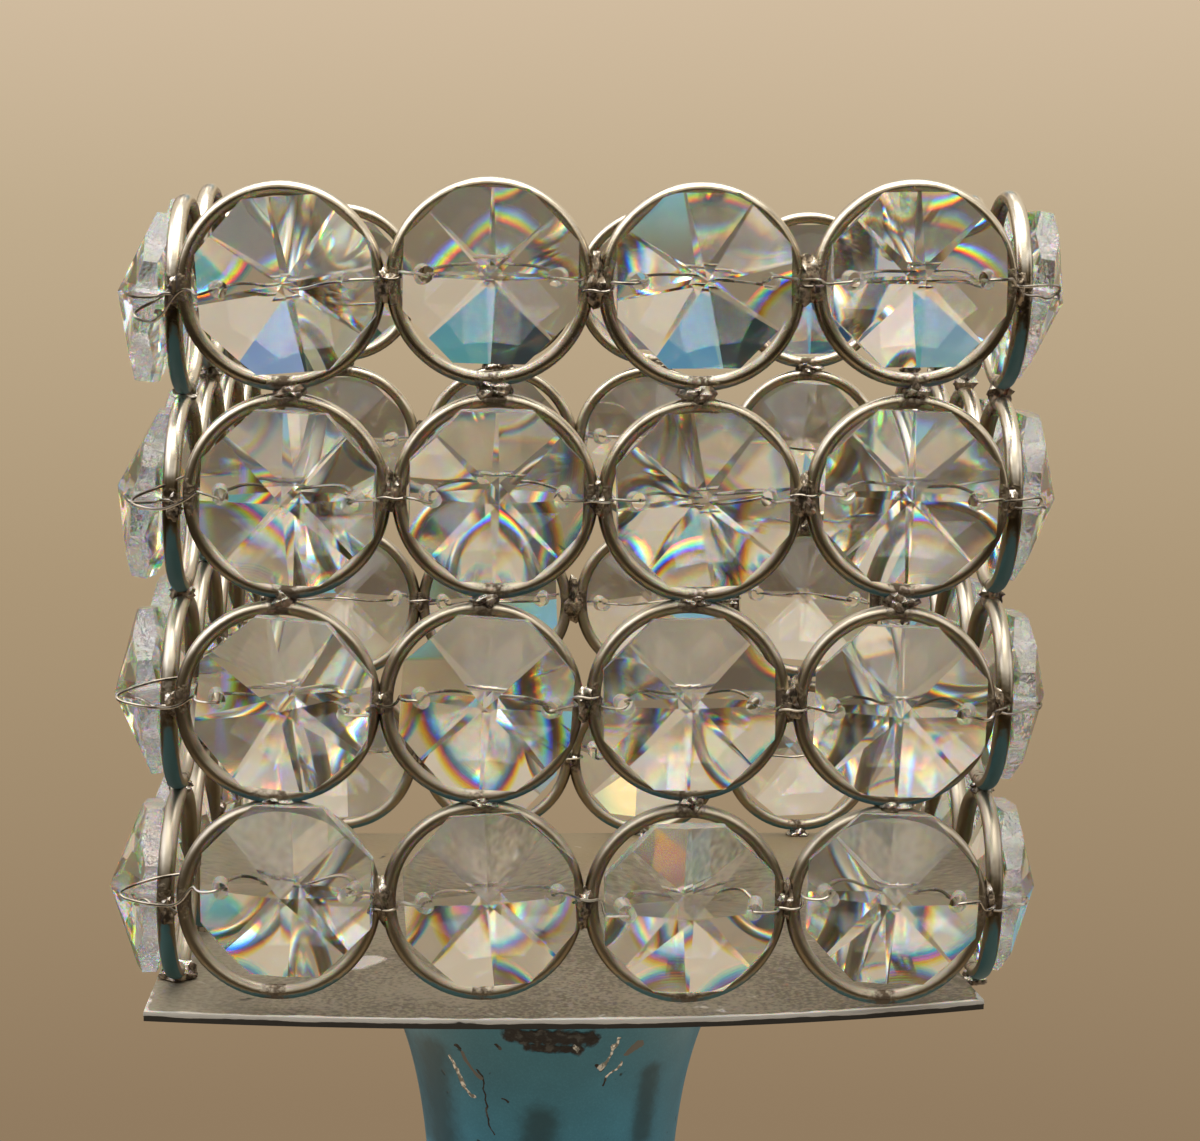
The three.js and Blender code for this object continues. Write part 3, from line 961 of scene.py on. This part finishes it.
def drilled_crystal(askew):
    """The blank with its two holes cut, as points, triangles and each triangle's finish.

    The finishes are 0 for the cut facets, 1 for the rim and 2 for the holes."""
    points, faces = crystal_blank(askew)
    blank = shape("crystal_blank", points, faces, cut_crystal, moulded_rim)
    rim_faces = np.arange(len(faces)) < RIM_FACES
    blank.data.polygons.foreach_set("material_index", rim_faces.astype(int))
    drills = []
    for reach in (-HOLE_REACH, HOLE_REACH):
        drill_profile = [(HOLE_RADIUS, -CRYSTAL_THICKNESS), (HOLE_RADIUS, CRYSTAL_THICKNESS)]
        points, quads, fans = skin(turned(drill_profile, HOLE_SIDES) + np.array((reach, 0, 0)))
        drill = shape("crystal_drill", points, quads.tolist() + fans.tolist(), ground_hole)
        cut = blank.modifiers.new("drilled", "BOOLEAN")
        cut.operation = "DIFFERENCE"
        cut.solver = "EXACT"
        cut.material_mode = "TRANSFER"
        cut.object = drill
        drills.append(drill)
    whole = blank.evaluated_get(bpy.context.evaluated_depsgraph_get()).to_mesh()
    whole.calc_loop_triangles()
    points = np.array([tuple(point.co) for point in whole.vertices])
    corners = np.array([tuple(face.vertices) for face in whole.loop_triangles])
    ground = np.array([face.material_index for face in whole.loop_triangles])
    for passing in (blank, *drills):
        bpy.data.objects.remove(passing)
    return points, corners, ground


def by_ray(place, kind, others, these):
    """One shader for the kind of ray that is named and another for all others."""
    is_kind = place.add("LightPath", {}, {}, f"Is {kind} Ray")
    return place.add("MixShader", {}, {0: is_kind, 1: others, 2: these})


def pale_shadow(place, glass):
    """A glass that casts only a pale shadow."""
    through = place.add("BsdfTransparent", {}, {"Color": CRYSTAL_SHADE})
    return by_ray(place, "Shadow", glass, through)


@finish
def cut_crystal(place):
    *split, plain = (
        place.add("BsdfGlass", {}, {"Color": tint, "Roughness": 0.0, "IOR": index})
        for index, tint in (*SPECTRUM, (CRYSTAL_IOR, (1, 1, 1)))
    )
    rainbow = reduce(lambda some, one: place.add("AddShader", {}, {0: some, 1: one}), split)
    return pale_shadow(place, by_ray(place, "Transmission", rainbow, plain))


def drawn_glass(place, tint, rough, clear, uneven):
    """Crystal that isn't polished: tinted, rough, and clear only for a share."""
    named = {"Base_Color": tint, "Roughness": rough, "IOR": CRYSTAL_IOR, "Normal": uneven}
    return place.cover(Transmission_Weight=clear, **named)


@finish
def moulded_rim(place):
    ripple = (place.noise(700) * 0.7 + place.noise(2600, 2.0) * 0.3).bump(0.25 * MM)
    return pale_shadow(place, drawn_glass(place, RIM_TINT, 0.12, RIM_CLEAR, ripple))


@finish
def ground_hole(place):
    ground = place.noise(3000).bump(0.08 * MM)
    return drawn_glass(place, HOLE_CHALK, 0.25, HOLE_CLEAR, ground)


def leaned(lean, yaw, turn):
    """Turns a crystal in its own plane, then about its upright axis, then tips it about the row."""
    spin = Matrix.Rotation(lean, 3, "X") @ Matrix.Rotation(yaw, 3, "Y") @ Matrix.Rotation(turn, 3, "Z")
    return np.array(spin)


crystal_cuts = {degrees: drilled_crystal(math.radians(degrees)) for degrees in np.unique(FACET_TURNS)}
crystal_draw = np.random.default_rng(31)
crystal_leans = crystal_draw.normal(0, CRYSTAL_LEAN, (*CAGE, 2))
crystal_leans = crystal_leans.clip(-2 * CRYSTAL_LEAN, 2 * CRYSTAL_LEAN)
crystal_leans[FRONT, 0] *= STEADY_ROW
crystal_leans[LEFT, :, -1, 0] = np.radians(LEFT_LEANS)
crystal_leans[RIGHT, :, 0, 0] = np.radians(RIGHT_LEANS)
crystal_turns = crystal_draw.normal(0, CRYSTAL_TURN, CAGE)
crystal_at = np.full((*CAGE, 3), crystal_out)
crystal_at[..., :2] = ring_at + crystal_draw.normal(0, CRYSTAL_SLIP, ring_at.shape)
crystal_at[LEFT, ..., 2] += LEFT_STAND_OFF
crystal_at[RIGHT, ..., 2] += RIGHT_STAND_OFF
crystals_seen = seen_on(FRONT_CRYSTALS_SEEN, -panel_reach - crystal_out)
crystal_at[FRONT, ..., :2] = crystals_seen[..., [0, 2]] - np.array((cage_x, 0))
crystal_spin = np.empty((*CAGE, 3, 3))
for side, side_name in enumerate(SIDES):
    for row in range(ROWS):
        shells = []
        ground = []
        for c in range(COLUMNS):
            spin = leaned(*crystal_leans[side, row, c], crystal_turns[side, row, c])
            crystal_spin[side, row, c] = spin
            cut_points, cut_faces, cut_ground = crystal_cuts[FACET_TURNS[side, row, c]]
            placed = stand(cut_points @ spin.T + crystal_at[side, row, c], side)
            shells.append((placed, np.zeros((0, 4), int), cut_faces))
            ground.append(cut_ground)
        name = f"{side_name}_crystals_{row + 1}"
        strand = f"{side_name}_crystal_strand_{row + 1}"
        built = piece(name, shells, cut_crystal, "crystal", strand, crease=CRYSTAL_CREASE)
        built.data.materials.append(moulded_rim)
        built.data.materials.append(ground_hole)
        built.data.polygons.foreach_set("material_index", np.concatenate(ground))


# Tie wire
# One thin bright wire runs along each row: over a ring joint or once round it, in at the front of a
# crystal's first hole, across its back, out of the second hole, and on to the next joint.
TIE_RADIUS = 0.12 * MM
TIE_SIDES = 7
TIE_ROUNDINGS = 3
TIE_BRIGHT = (0.55, 0.50, 0.43)
TIE_DULL = (0.17, 0.145, 0.115)
TIE_SLACK = 0.22 * MM
# The share of the slack that is left out of the ring plane, and at the points by the crystal's holes
TIE_STEADY = 0.3
STEADY_POINTS = [4, 5, -5, -4]
# The share of joints that the wire is wound round
TIE_WRAPPED = 0.3
# How far the front rows' wires loop past the left and right corners, by row
LEFT_LOOPS = np.array((3.6, 4.4, 5.0, 4.9)) * MM
LEFT_LOOP_SINKS = np.array((2.6, 0.8, 0, 0)) * MM
RIGHT_ENDS = np.array((3.6, 2.8, 1.2, 0.8)) * MM
OTHER_LOOP = 0.8 * MM
OTHER_END = 0.5 * MM
TIE_CLEAR = 0.12 * MM
TIE_STAND_OFF = 0.25 * MM
JOINT_SLIP = 0.3 * MM
# The two ways over a ring joint: straight across, or once round it. Along is in millimetres, up in the
# unit below, and out is a share of the wire's distance from the ring plane
TIE_UP = 1.2 * MM
TIE_CROSSING = np.array([(-1.4, -0.1, 0.8), (-0.5, 0.1, 1), (0.5, -0.1, 1), (1.4, 0.1, 0.8)])
TIE_TURN_BACK = np.array([
    (-0.9, -0.25, 1), (0.7, -0.2, 1), (1.3, -0.1, 0.3), (1.2, 0, -0.8),
    (0.2, 0.1, -1), (-1.1, 0.15, -0.8), (-1.3, 0.2, 0.3), (-0.6, 0.25, 1), (0.9, 0.3, 1),
])


def rounded_path(points):
    """Cuts the corners of a path again and again, keeping its ends, so that it bends as a curve."""
    for _ in range(TIE_ROUNDINGS):
        near = 0.75 * points[:-1] + 0.25 * points[1:]
        far = 0.25 * points[:-1] + 0.75 * points[1:]
        middle = np.stack((near, far), axis=1).reshape(-1, 3)
        points = np.vstack((points[:1], middle[1:-1], points[-1:]))
    return points


def wire_along(path):
    """Rings of a round wire: at each point a circle square to the path, turned as little as can be."""
    run = np.gradient(path, axis=0)
    run /= np.linalg.norm(run, axis=1, keepdims=True)
    across = np.cross(run, (0.0, 1.0, 0.0))
    for step in range(len(path)):
        carried = across[max(step - 1, 0)]
        carried = carried - (carried @ run[step]) * run[step]
        across[step] = carried / np.linalg.norm(carried)
    upright = np.cross(across, run)
    turn = around(TIE_SIDES)[None, :, None]
    return path[:, None] + TIE_RADIUS * (np.cos(turn) * across[:, None] + np.sin(turn) * upright[:, None])


def tie_route(side, row, draw):
    """Points of one row's wire, as along, up and out: over each joint, then in and out of a crystal."""
    ridge = FACET_FALL * math.cos(RIM_STEP)
    mouth = CRYSTAL_HALF - ridge * HOLE_REACH
    shoulder = CRYSTAL_HALF - ridge * CRYSTAL_FLATS / 2
    clear = TIE_RADIUS + TIE_CLEAR
    point = CRYSTAL_HALF + clear
    half = np.array([
        (0, 0.1 * MM, -point),
        (HOLE_REACH / 2, 0.3 * MM, -point + 0.35 * MM),
        (HOLE_REACH - 0.2 * MM, 0, -mouth - clear),
        (HOLE_REACH, 0, 0.3 * MM - mouth),
        (HOLE_REACH, 0, mouth - 0.3 * MM),
        (HOLE_REACH + 0.2 * MM, 0, mouth + clear),
        (CRYSTAL_FLATS / 2, 0, shoulder + clear),
        (CRYSTAL_FLATS / 2 + 2 * clear, 0, shoulder - 0.4 * MM),
    ])
    through = np.vstack((half[:0:-1] * (-1, 1, 1), half))
    front = WIRE_AXIAL + TIE_RADIUS + TIE_STAND_OFF
    here = ring_at[side, row]
    left = here[0] - np.array((ring_outer, 0))
    right = here[-1] + np.array((ring_outer, 0))
    loop, tail = (LEFT_LOOPS[row], RIGHT_ENDS[row]) if side == FRONT else (OTHER_LOOP, OTHER_END)
    start = np.array([
        (1.0 * MM, 1.9 * MM, -front), (-0.3 * loop, 1.6 * MM, -front), (-0.85 * loop, 0.7 * MM, -front),
        (-loop, 0.2 * MM, -front), (-0.9 * loop, -0.2 * MM, -0.6 * front),
        (-0.4 * loop, -0.5 * MM, 0.2 * front), (0.3 * MM, -0.4 * MM, front),
    ])
    start[1:-1, 1] -= LEFT_LOOP_SINKS[row] if side == FRONT else 0
    stop = np.array([
        (-0.4 * MM, -0.2 * MM, front), (0.5 * tail, 0, 0.8 * front), (0.9 * tail, 0.1 * MM, 0),
        (tail, -0.3 * MM, -0.5 * front), (0.95 * tail, -0.7 * MM, -front),
    ])
    route = [start + np.append(left, 0)]
    for c in range(COLUMNS):
        slack = draw.normal(0, TIE_SLACK, (len(through), 3)) * (1, 1, TIE_STEADY)
        slack[STEADY_POINTS] *= TIE_STEADY
        route.append((through + slack) @ crystal_spin[side, row, c].T + crystal_at[side, row, c])
        if c < COLUMNS - 1:
            joint = (here[c] + here[c + 1]) / 2 + (0, draw.normal(0, JOINT_SLIP))
            wrap = TIE_TURN_BACK if draw.random() < TIE_WRAPPED else TIE_CROSSING
            route.append(wrap * (MM, TIE_UP, front) + np.append(joint, 0))
    route.append(stop + np.append(right, 0))
    return np.vstack(route)


@finish
def tie_wire(place):
    cloud = place.noise(500).ease(0.35, 0.65)
    colour = cloud.colour(TIE_DULL, TIE_BRIGHT)
    return place.cover(Base_Color=colour, Metallic=1.0, Roughness=cloud * 0.15 + 0.2)


tie_draw = np.random.default_rng(43)
for side, side_name in enumerate(SIDES):
    for row in range(ROWS):
        path = rounded_path(tie_route(side, row, tie_draw))
        wire = skin(stand(wire_along(path), side))
        strand = f"{side_name}_crystal_strand_{row + 1}"
        piece(f"{side_name}_tie_{row + 1}", [wire], tie_wire, "ring_wire", strand)


# Studio
# A pale floor under the holder that fades into a plain beige surround, lit by soft overhead and
# side lights that the metal and the crystal also show.
FLOOR_REACH = 0.34
FLOOR_FADE = (0.10, 0.30)
FLOOR_COLOUR = (0.56, 0.47, 0.36)
SURROUND = (
    (-90, (0.22, 0.16, 0.10)),
    (-18, (0.285, 0.200, 0.118)),
    (-6, (0.415, 0.310, 0.188)),
    (2, (0.530, 0.415, 0.270)),
    (7, (0.640, 0.505, 0.352)),
    (14, (0.80, 0.71, 0.58)),
    (60, (0.70, 0.66, 0.60)),
)
# What the metal and the crystal show of the room: darker near the floor, paler above
ROOM = (
    (-90, (0.10, 0.078, 0.056)),
    (-28, (0.160, 0.126, 0.090)),
    (-19, (0.118, 0.088, 0.058)),
    (-8, (0.225, 0.170, 0.108)),
    (1, (0.45, 0.35, 0.23)),
    (8, (0.52, 0.42, 0.29)),
    (16, (0.58, 0.49, 0.37)),
    (30, (0.62, 0.54, 0.43)),
    (60, (0.55, 0.51, 0.46)),
)
# What they show of the room in front, on the camera's side: dim below, a white wall, then lamps high up
ROOM_FRONT = (
    (-90, (0.030, 0.024, 0.018)),
    (-6, (0.045, 0.036, 0.026)),
    (4, (0.10, 0.085, 0.062)),
    (14, (0.27, 0.24, 0.185)),
    (20, (0.50, 0.48, 0.46)),
    (25, (1.40, 1.40, 1.40)),
    (34, (1.20, 1.20, 1.22)),
    (38, (0.50, 0.45, 0.37)),
    (44, (0.70, 0.64, 0.53)),
    (58, (2.20, 2.10, 1.85)),
    (85, (3.00, 2.85, 2.55)),
)
# Where the front gives way to the rest of the room, by the part of a line of sight along Y
FRONT_TURN = (-0.45, 0.30)
# The dark parts of the room beyond the backdrop's two ends, by the squared part across and the part up
ROOM_BESIDE = (0.060, 0.048, 0.035)
BESIDE_ACROSS = (0.52, 0.78)
BESIDE_UP = (0.55, 0.30)
BESIDE_SHARE = 0.75
# Each light or dark patch: azimuth from +Y towards +X, elevation, inner and outer radius, all in degrees,
# and colour
LIGHTS = (
    (0, 90, 14, 34, (4.2, 4.0, 3.7)),
    (-125, 35, 8, 20, (3.2, 3.3, 3.5)),
    (140, 26, 5, 13, (2.2, 2.1, 2.0)),
    (-88, 32, 12, 26, (2.1, 2.1, 2.3)),
    (88, 12, 10, 22, (1.7, 1.68, 1.75)),
    (-25, 11, 8, 16, (0.270, 0.215, 0.140)),
    (22, -17, 3.0, 5.5, (0.170, 0.370, 0.450)),
    (-24, 1, 2, 4, (0.200, 0.400, 0.480)),
    (-6, 45, 3, 6, (2.4, 2.3, 2.2)),
    (9, 37, 1.5, 3, (2.0, 2.0, 2.1)),
    (31, -31, 3, 6, (0.030, 0.040, 0.060)),
    (-30, -33, 3, 6, (0.030, 0.040, 0.060)),
    (2, -39, 4, 7, (0.045, 0.045, 0.055)),
    (-11, 19.5, 2.0, 3.5, (0.030, 0.038, 0.048)),
    (16, 13, 0.9, 1.7, (1.2, 0.86, 0.42)),
    (-11, 16, 0.9, 1.7, (1.15, 0.80, 0.36)),
)
# The far window high behind the holder: its panes by azimuth, between two elevations, in degrees. Its
# two ends fade over these shares of the span
WINDOW_SILL = 21.5
WINDOW_HEAD = 30.5
WINDOW_SPAN = 30.0
WINDOW_EDGE = 0.004
WINDOW_LEFT = (0.08, 0.12)
WINDOW_RIGHT = (0.96, 0.93)
PANES = (
    (-24, (0.270, 0.215, 0.140)),
    (-21, (0.460, 0.370, 0.420)),
    (-16, (0.460, 0.330, 0.420)),
    (-15, (0.026, 0.034, 0.042)),
    (-10, (0.026, 0.034, 0.042)),
    (-9, (0.010, 0.042, 0.080)),
    (-4, (0.016, 0.055, 0.105)),
    (-3, (0.170, 0.280, 0.410)),
    (1.5, (0.260, 0.360, 0.460)),
    (2.5, (0.095, 0.240, 0.430)),
    (7, (0.090, 0.260, 0.340)),
    (13, (0.090, 0.260, 0.340)),
    (14, (0.190, 0.170, 0.160)),
    (18.5, (0.190, 0.170, 0.160)),
    (19.5, (0.760, 0.630, 0.475)),
    (27, (0.620, 0.530, 0.410)),
)
# The panes' tint at their lower and upper parts
PANE_LOW = (0.92, 1.06, 0.82)
PANE_HIGH = (1.0, 0.94, 1.12)
PANE_TURN = (24.4, 27.4)


def sine(degrees):
    """The sine of an angle in degrees."""
    return math.sin(math.radians(degrees))


def height_ramp(level, steps):
    """Colours by the elevation of a line of sight whose upward part is given."""
    stops = [((sine(height) + 1) / 2, colour) for height, colour in steps]
    return level.add("ValToRGB", {"stops": stops}, {0: level * 0.5 + 0.5}, "Color")


def studio_world():
    """Surround colour by the height of the line of sight, each light a soft-edged disc, and the window.

    The room in front, on the camera's side, is dim below, so that the metal has dark tones to show."""
    world = bpy.data.worlds.new("studio")
    scene.world = world
    world.use_nodes = True
    world.node_tree.nodes.clear()
    sight = Value(world.node_tree).add("TexCoord", {}, {}, "Generated")
    level = sight.axis(2)
    surround = height_ramp(level, SURROUND)
    front = height_ramp(level, ROOM_FRONT)
    lit = sight.axis(1).ease(*FRONT_TURN).colour(front, height_ramp(level, ROOM))
    beside = (sight.axis(0) * sight.axis(0)).ease(*BESIDE_ACROSS) * level.ease(*BESIDE_UP)
    lit = (beside * BESIDE_SHARE).colour(lit, ROOM_BESIDE)
    for azimuth, height, inner, outer, colour in LIGHTS:
        flat = math.cos(math.radians(height))
        toward = (flat * sine(azimuth), flat * math.cos(math.radians(azimuth)), sine(height))
        cosine = sight.vector("DOT_PRODUCT", sight, toward, out="Value")
        disc = cosine.ease(math.cos(math.radians(outer)), math.cos(math.radians(inner)))
        lit = disc.colour(lit, colour)
    azimuth = sight.math("ARCTAN2", sight.axis(0), sight.axis(1)) * (0.5 / math.radians(WINDOW_SPAN)) + 0.5
    stops = [(0.5 + 0.5 * pane / WINDOW_SPAN, colour) for pane, colour in PANES]
    panes = azimuth.add("ValToRGB", {"stops": stops}, {0: azimuth}, "Color")
    turn = level.ease(*map(sine, PANE_TURN))
    panes = panes.vector("MULTIPLY", panes, turn.colour(PANE_LOW, PANE_HIGH))
    sill = level.ease(sine(WINDOW_SILL) - WINDOW_EDGE, sine(WINDOW_SILL) + WINDOW_EDGE)
    head = level.ease(sine(WINDOW_HEAD) + WINDOW_EDGE, sine(WINDOW_HEAD) - WINDOW_EDGE)
    tall = sill * head
    wide = azimuth.ease(*WINDOW_LEFT) * azimuth.ease(*WINDOW_RIGHT)
    lit = (tall * wide).colour(lit, panes)
    seen = sight.add("LightPath", {}, {}, "Is Camera Ray")
    shown = seen.colour(lit, surround)
    background = sight.add("Background", {}, {"Color": shown, "Strength": 1.0})
    sight.add("OutputWorld", {}, {"Surface": background})


@finish
def pale_floor(place):
    flat = place.vector("MULTIPLY", place, (1, 1, 0))
    reach = place.vector("LENGTH", flat, out="Value")
    matt = place.add("BsdfDiffuse", {}, {"Color": FLOOR_COLOUR})
    clear = place.add("BsdfTransparent", {}, {})
    return place.add("MixShader", {}, {0: reach.ease(*FLOOR_FADE), 1: matt, 2: clear})


studio_world()
floor_corners = np.array([(-1, -1, 0), (1, -1, 0), (1, 1, 0), (-1, 1, 0)])
floor = shape("floor", floor_corners * FLOOR_REACH, [(0, 1, 2, 3)], pale_floor)


# Rendering
# Colours as written, and enough bounces for light to cross several crystals.
scene.view_settings.view_transform = "Standard"
scene.cycles.max_bounces = 28
scene.cycles.transmission_bounces = 24
scene.cycles.glossy_bounces = 12
scene.cycles.transparent_max_bounces = 24
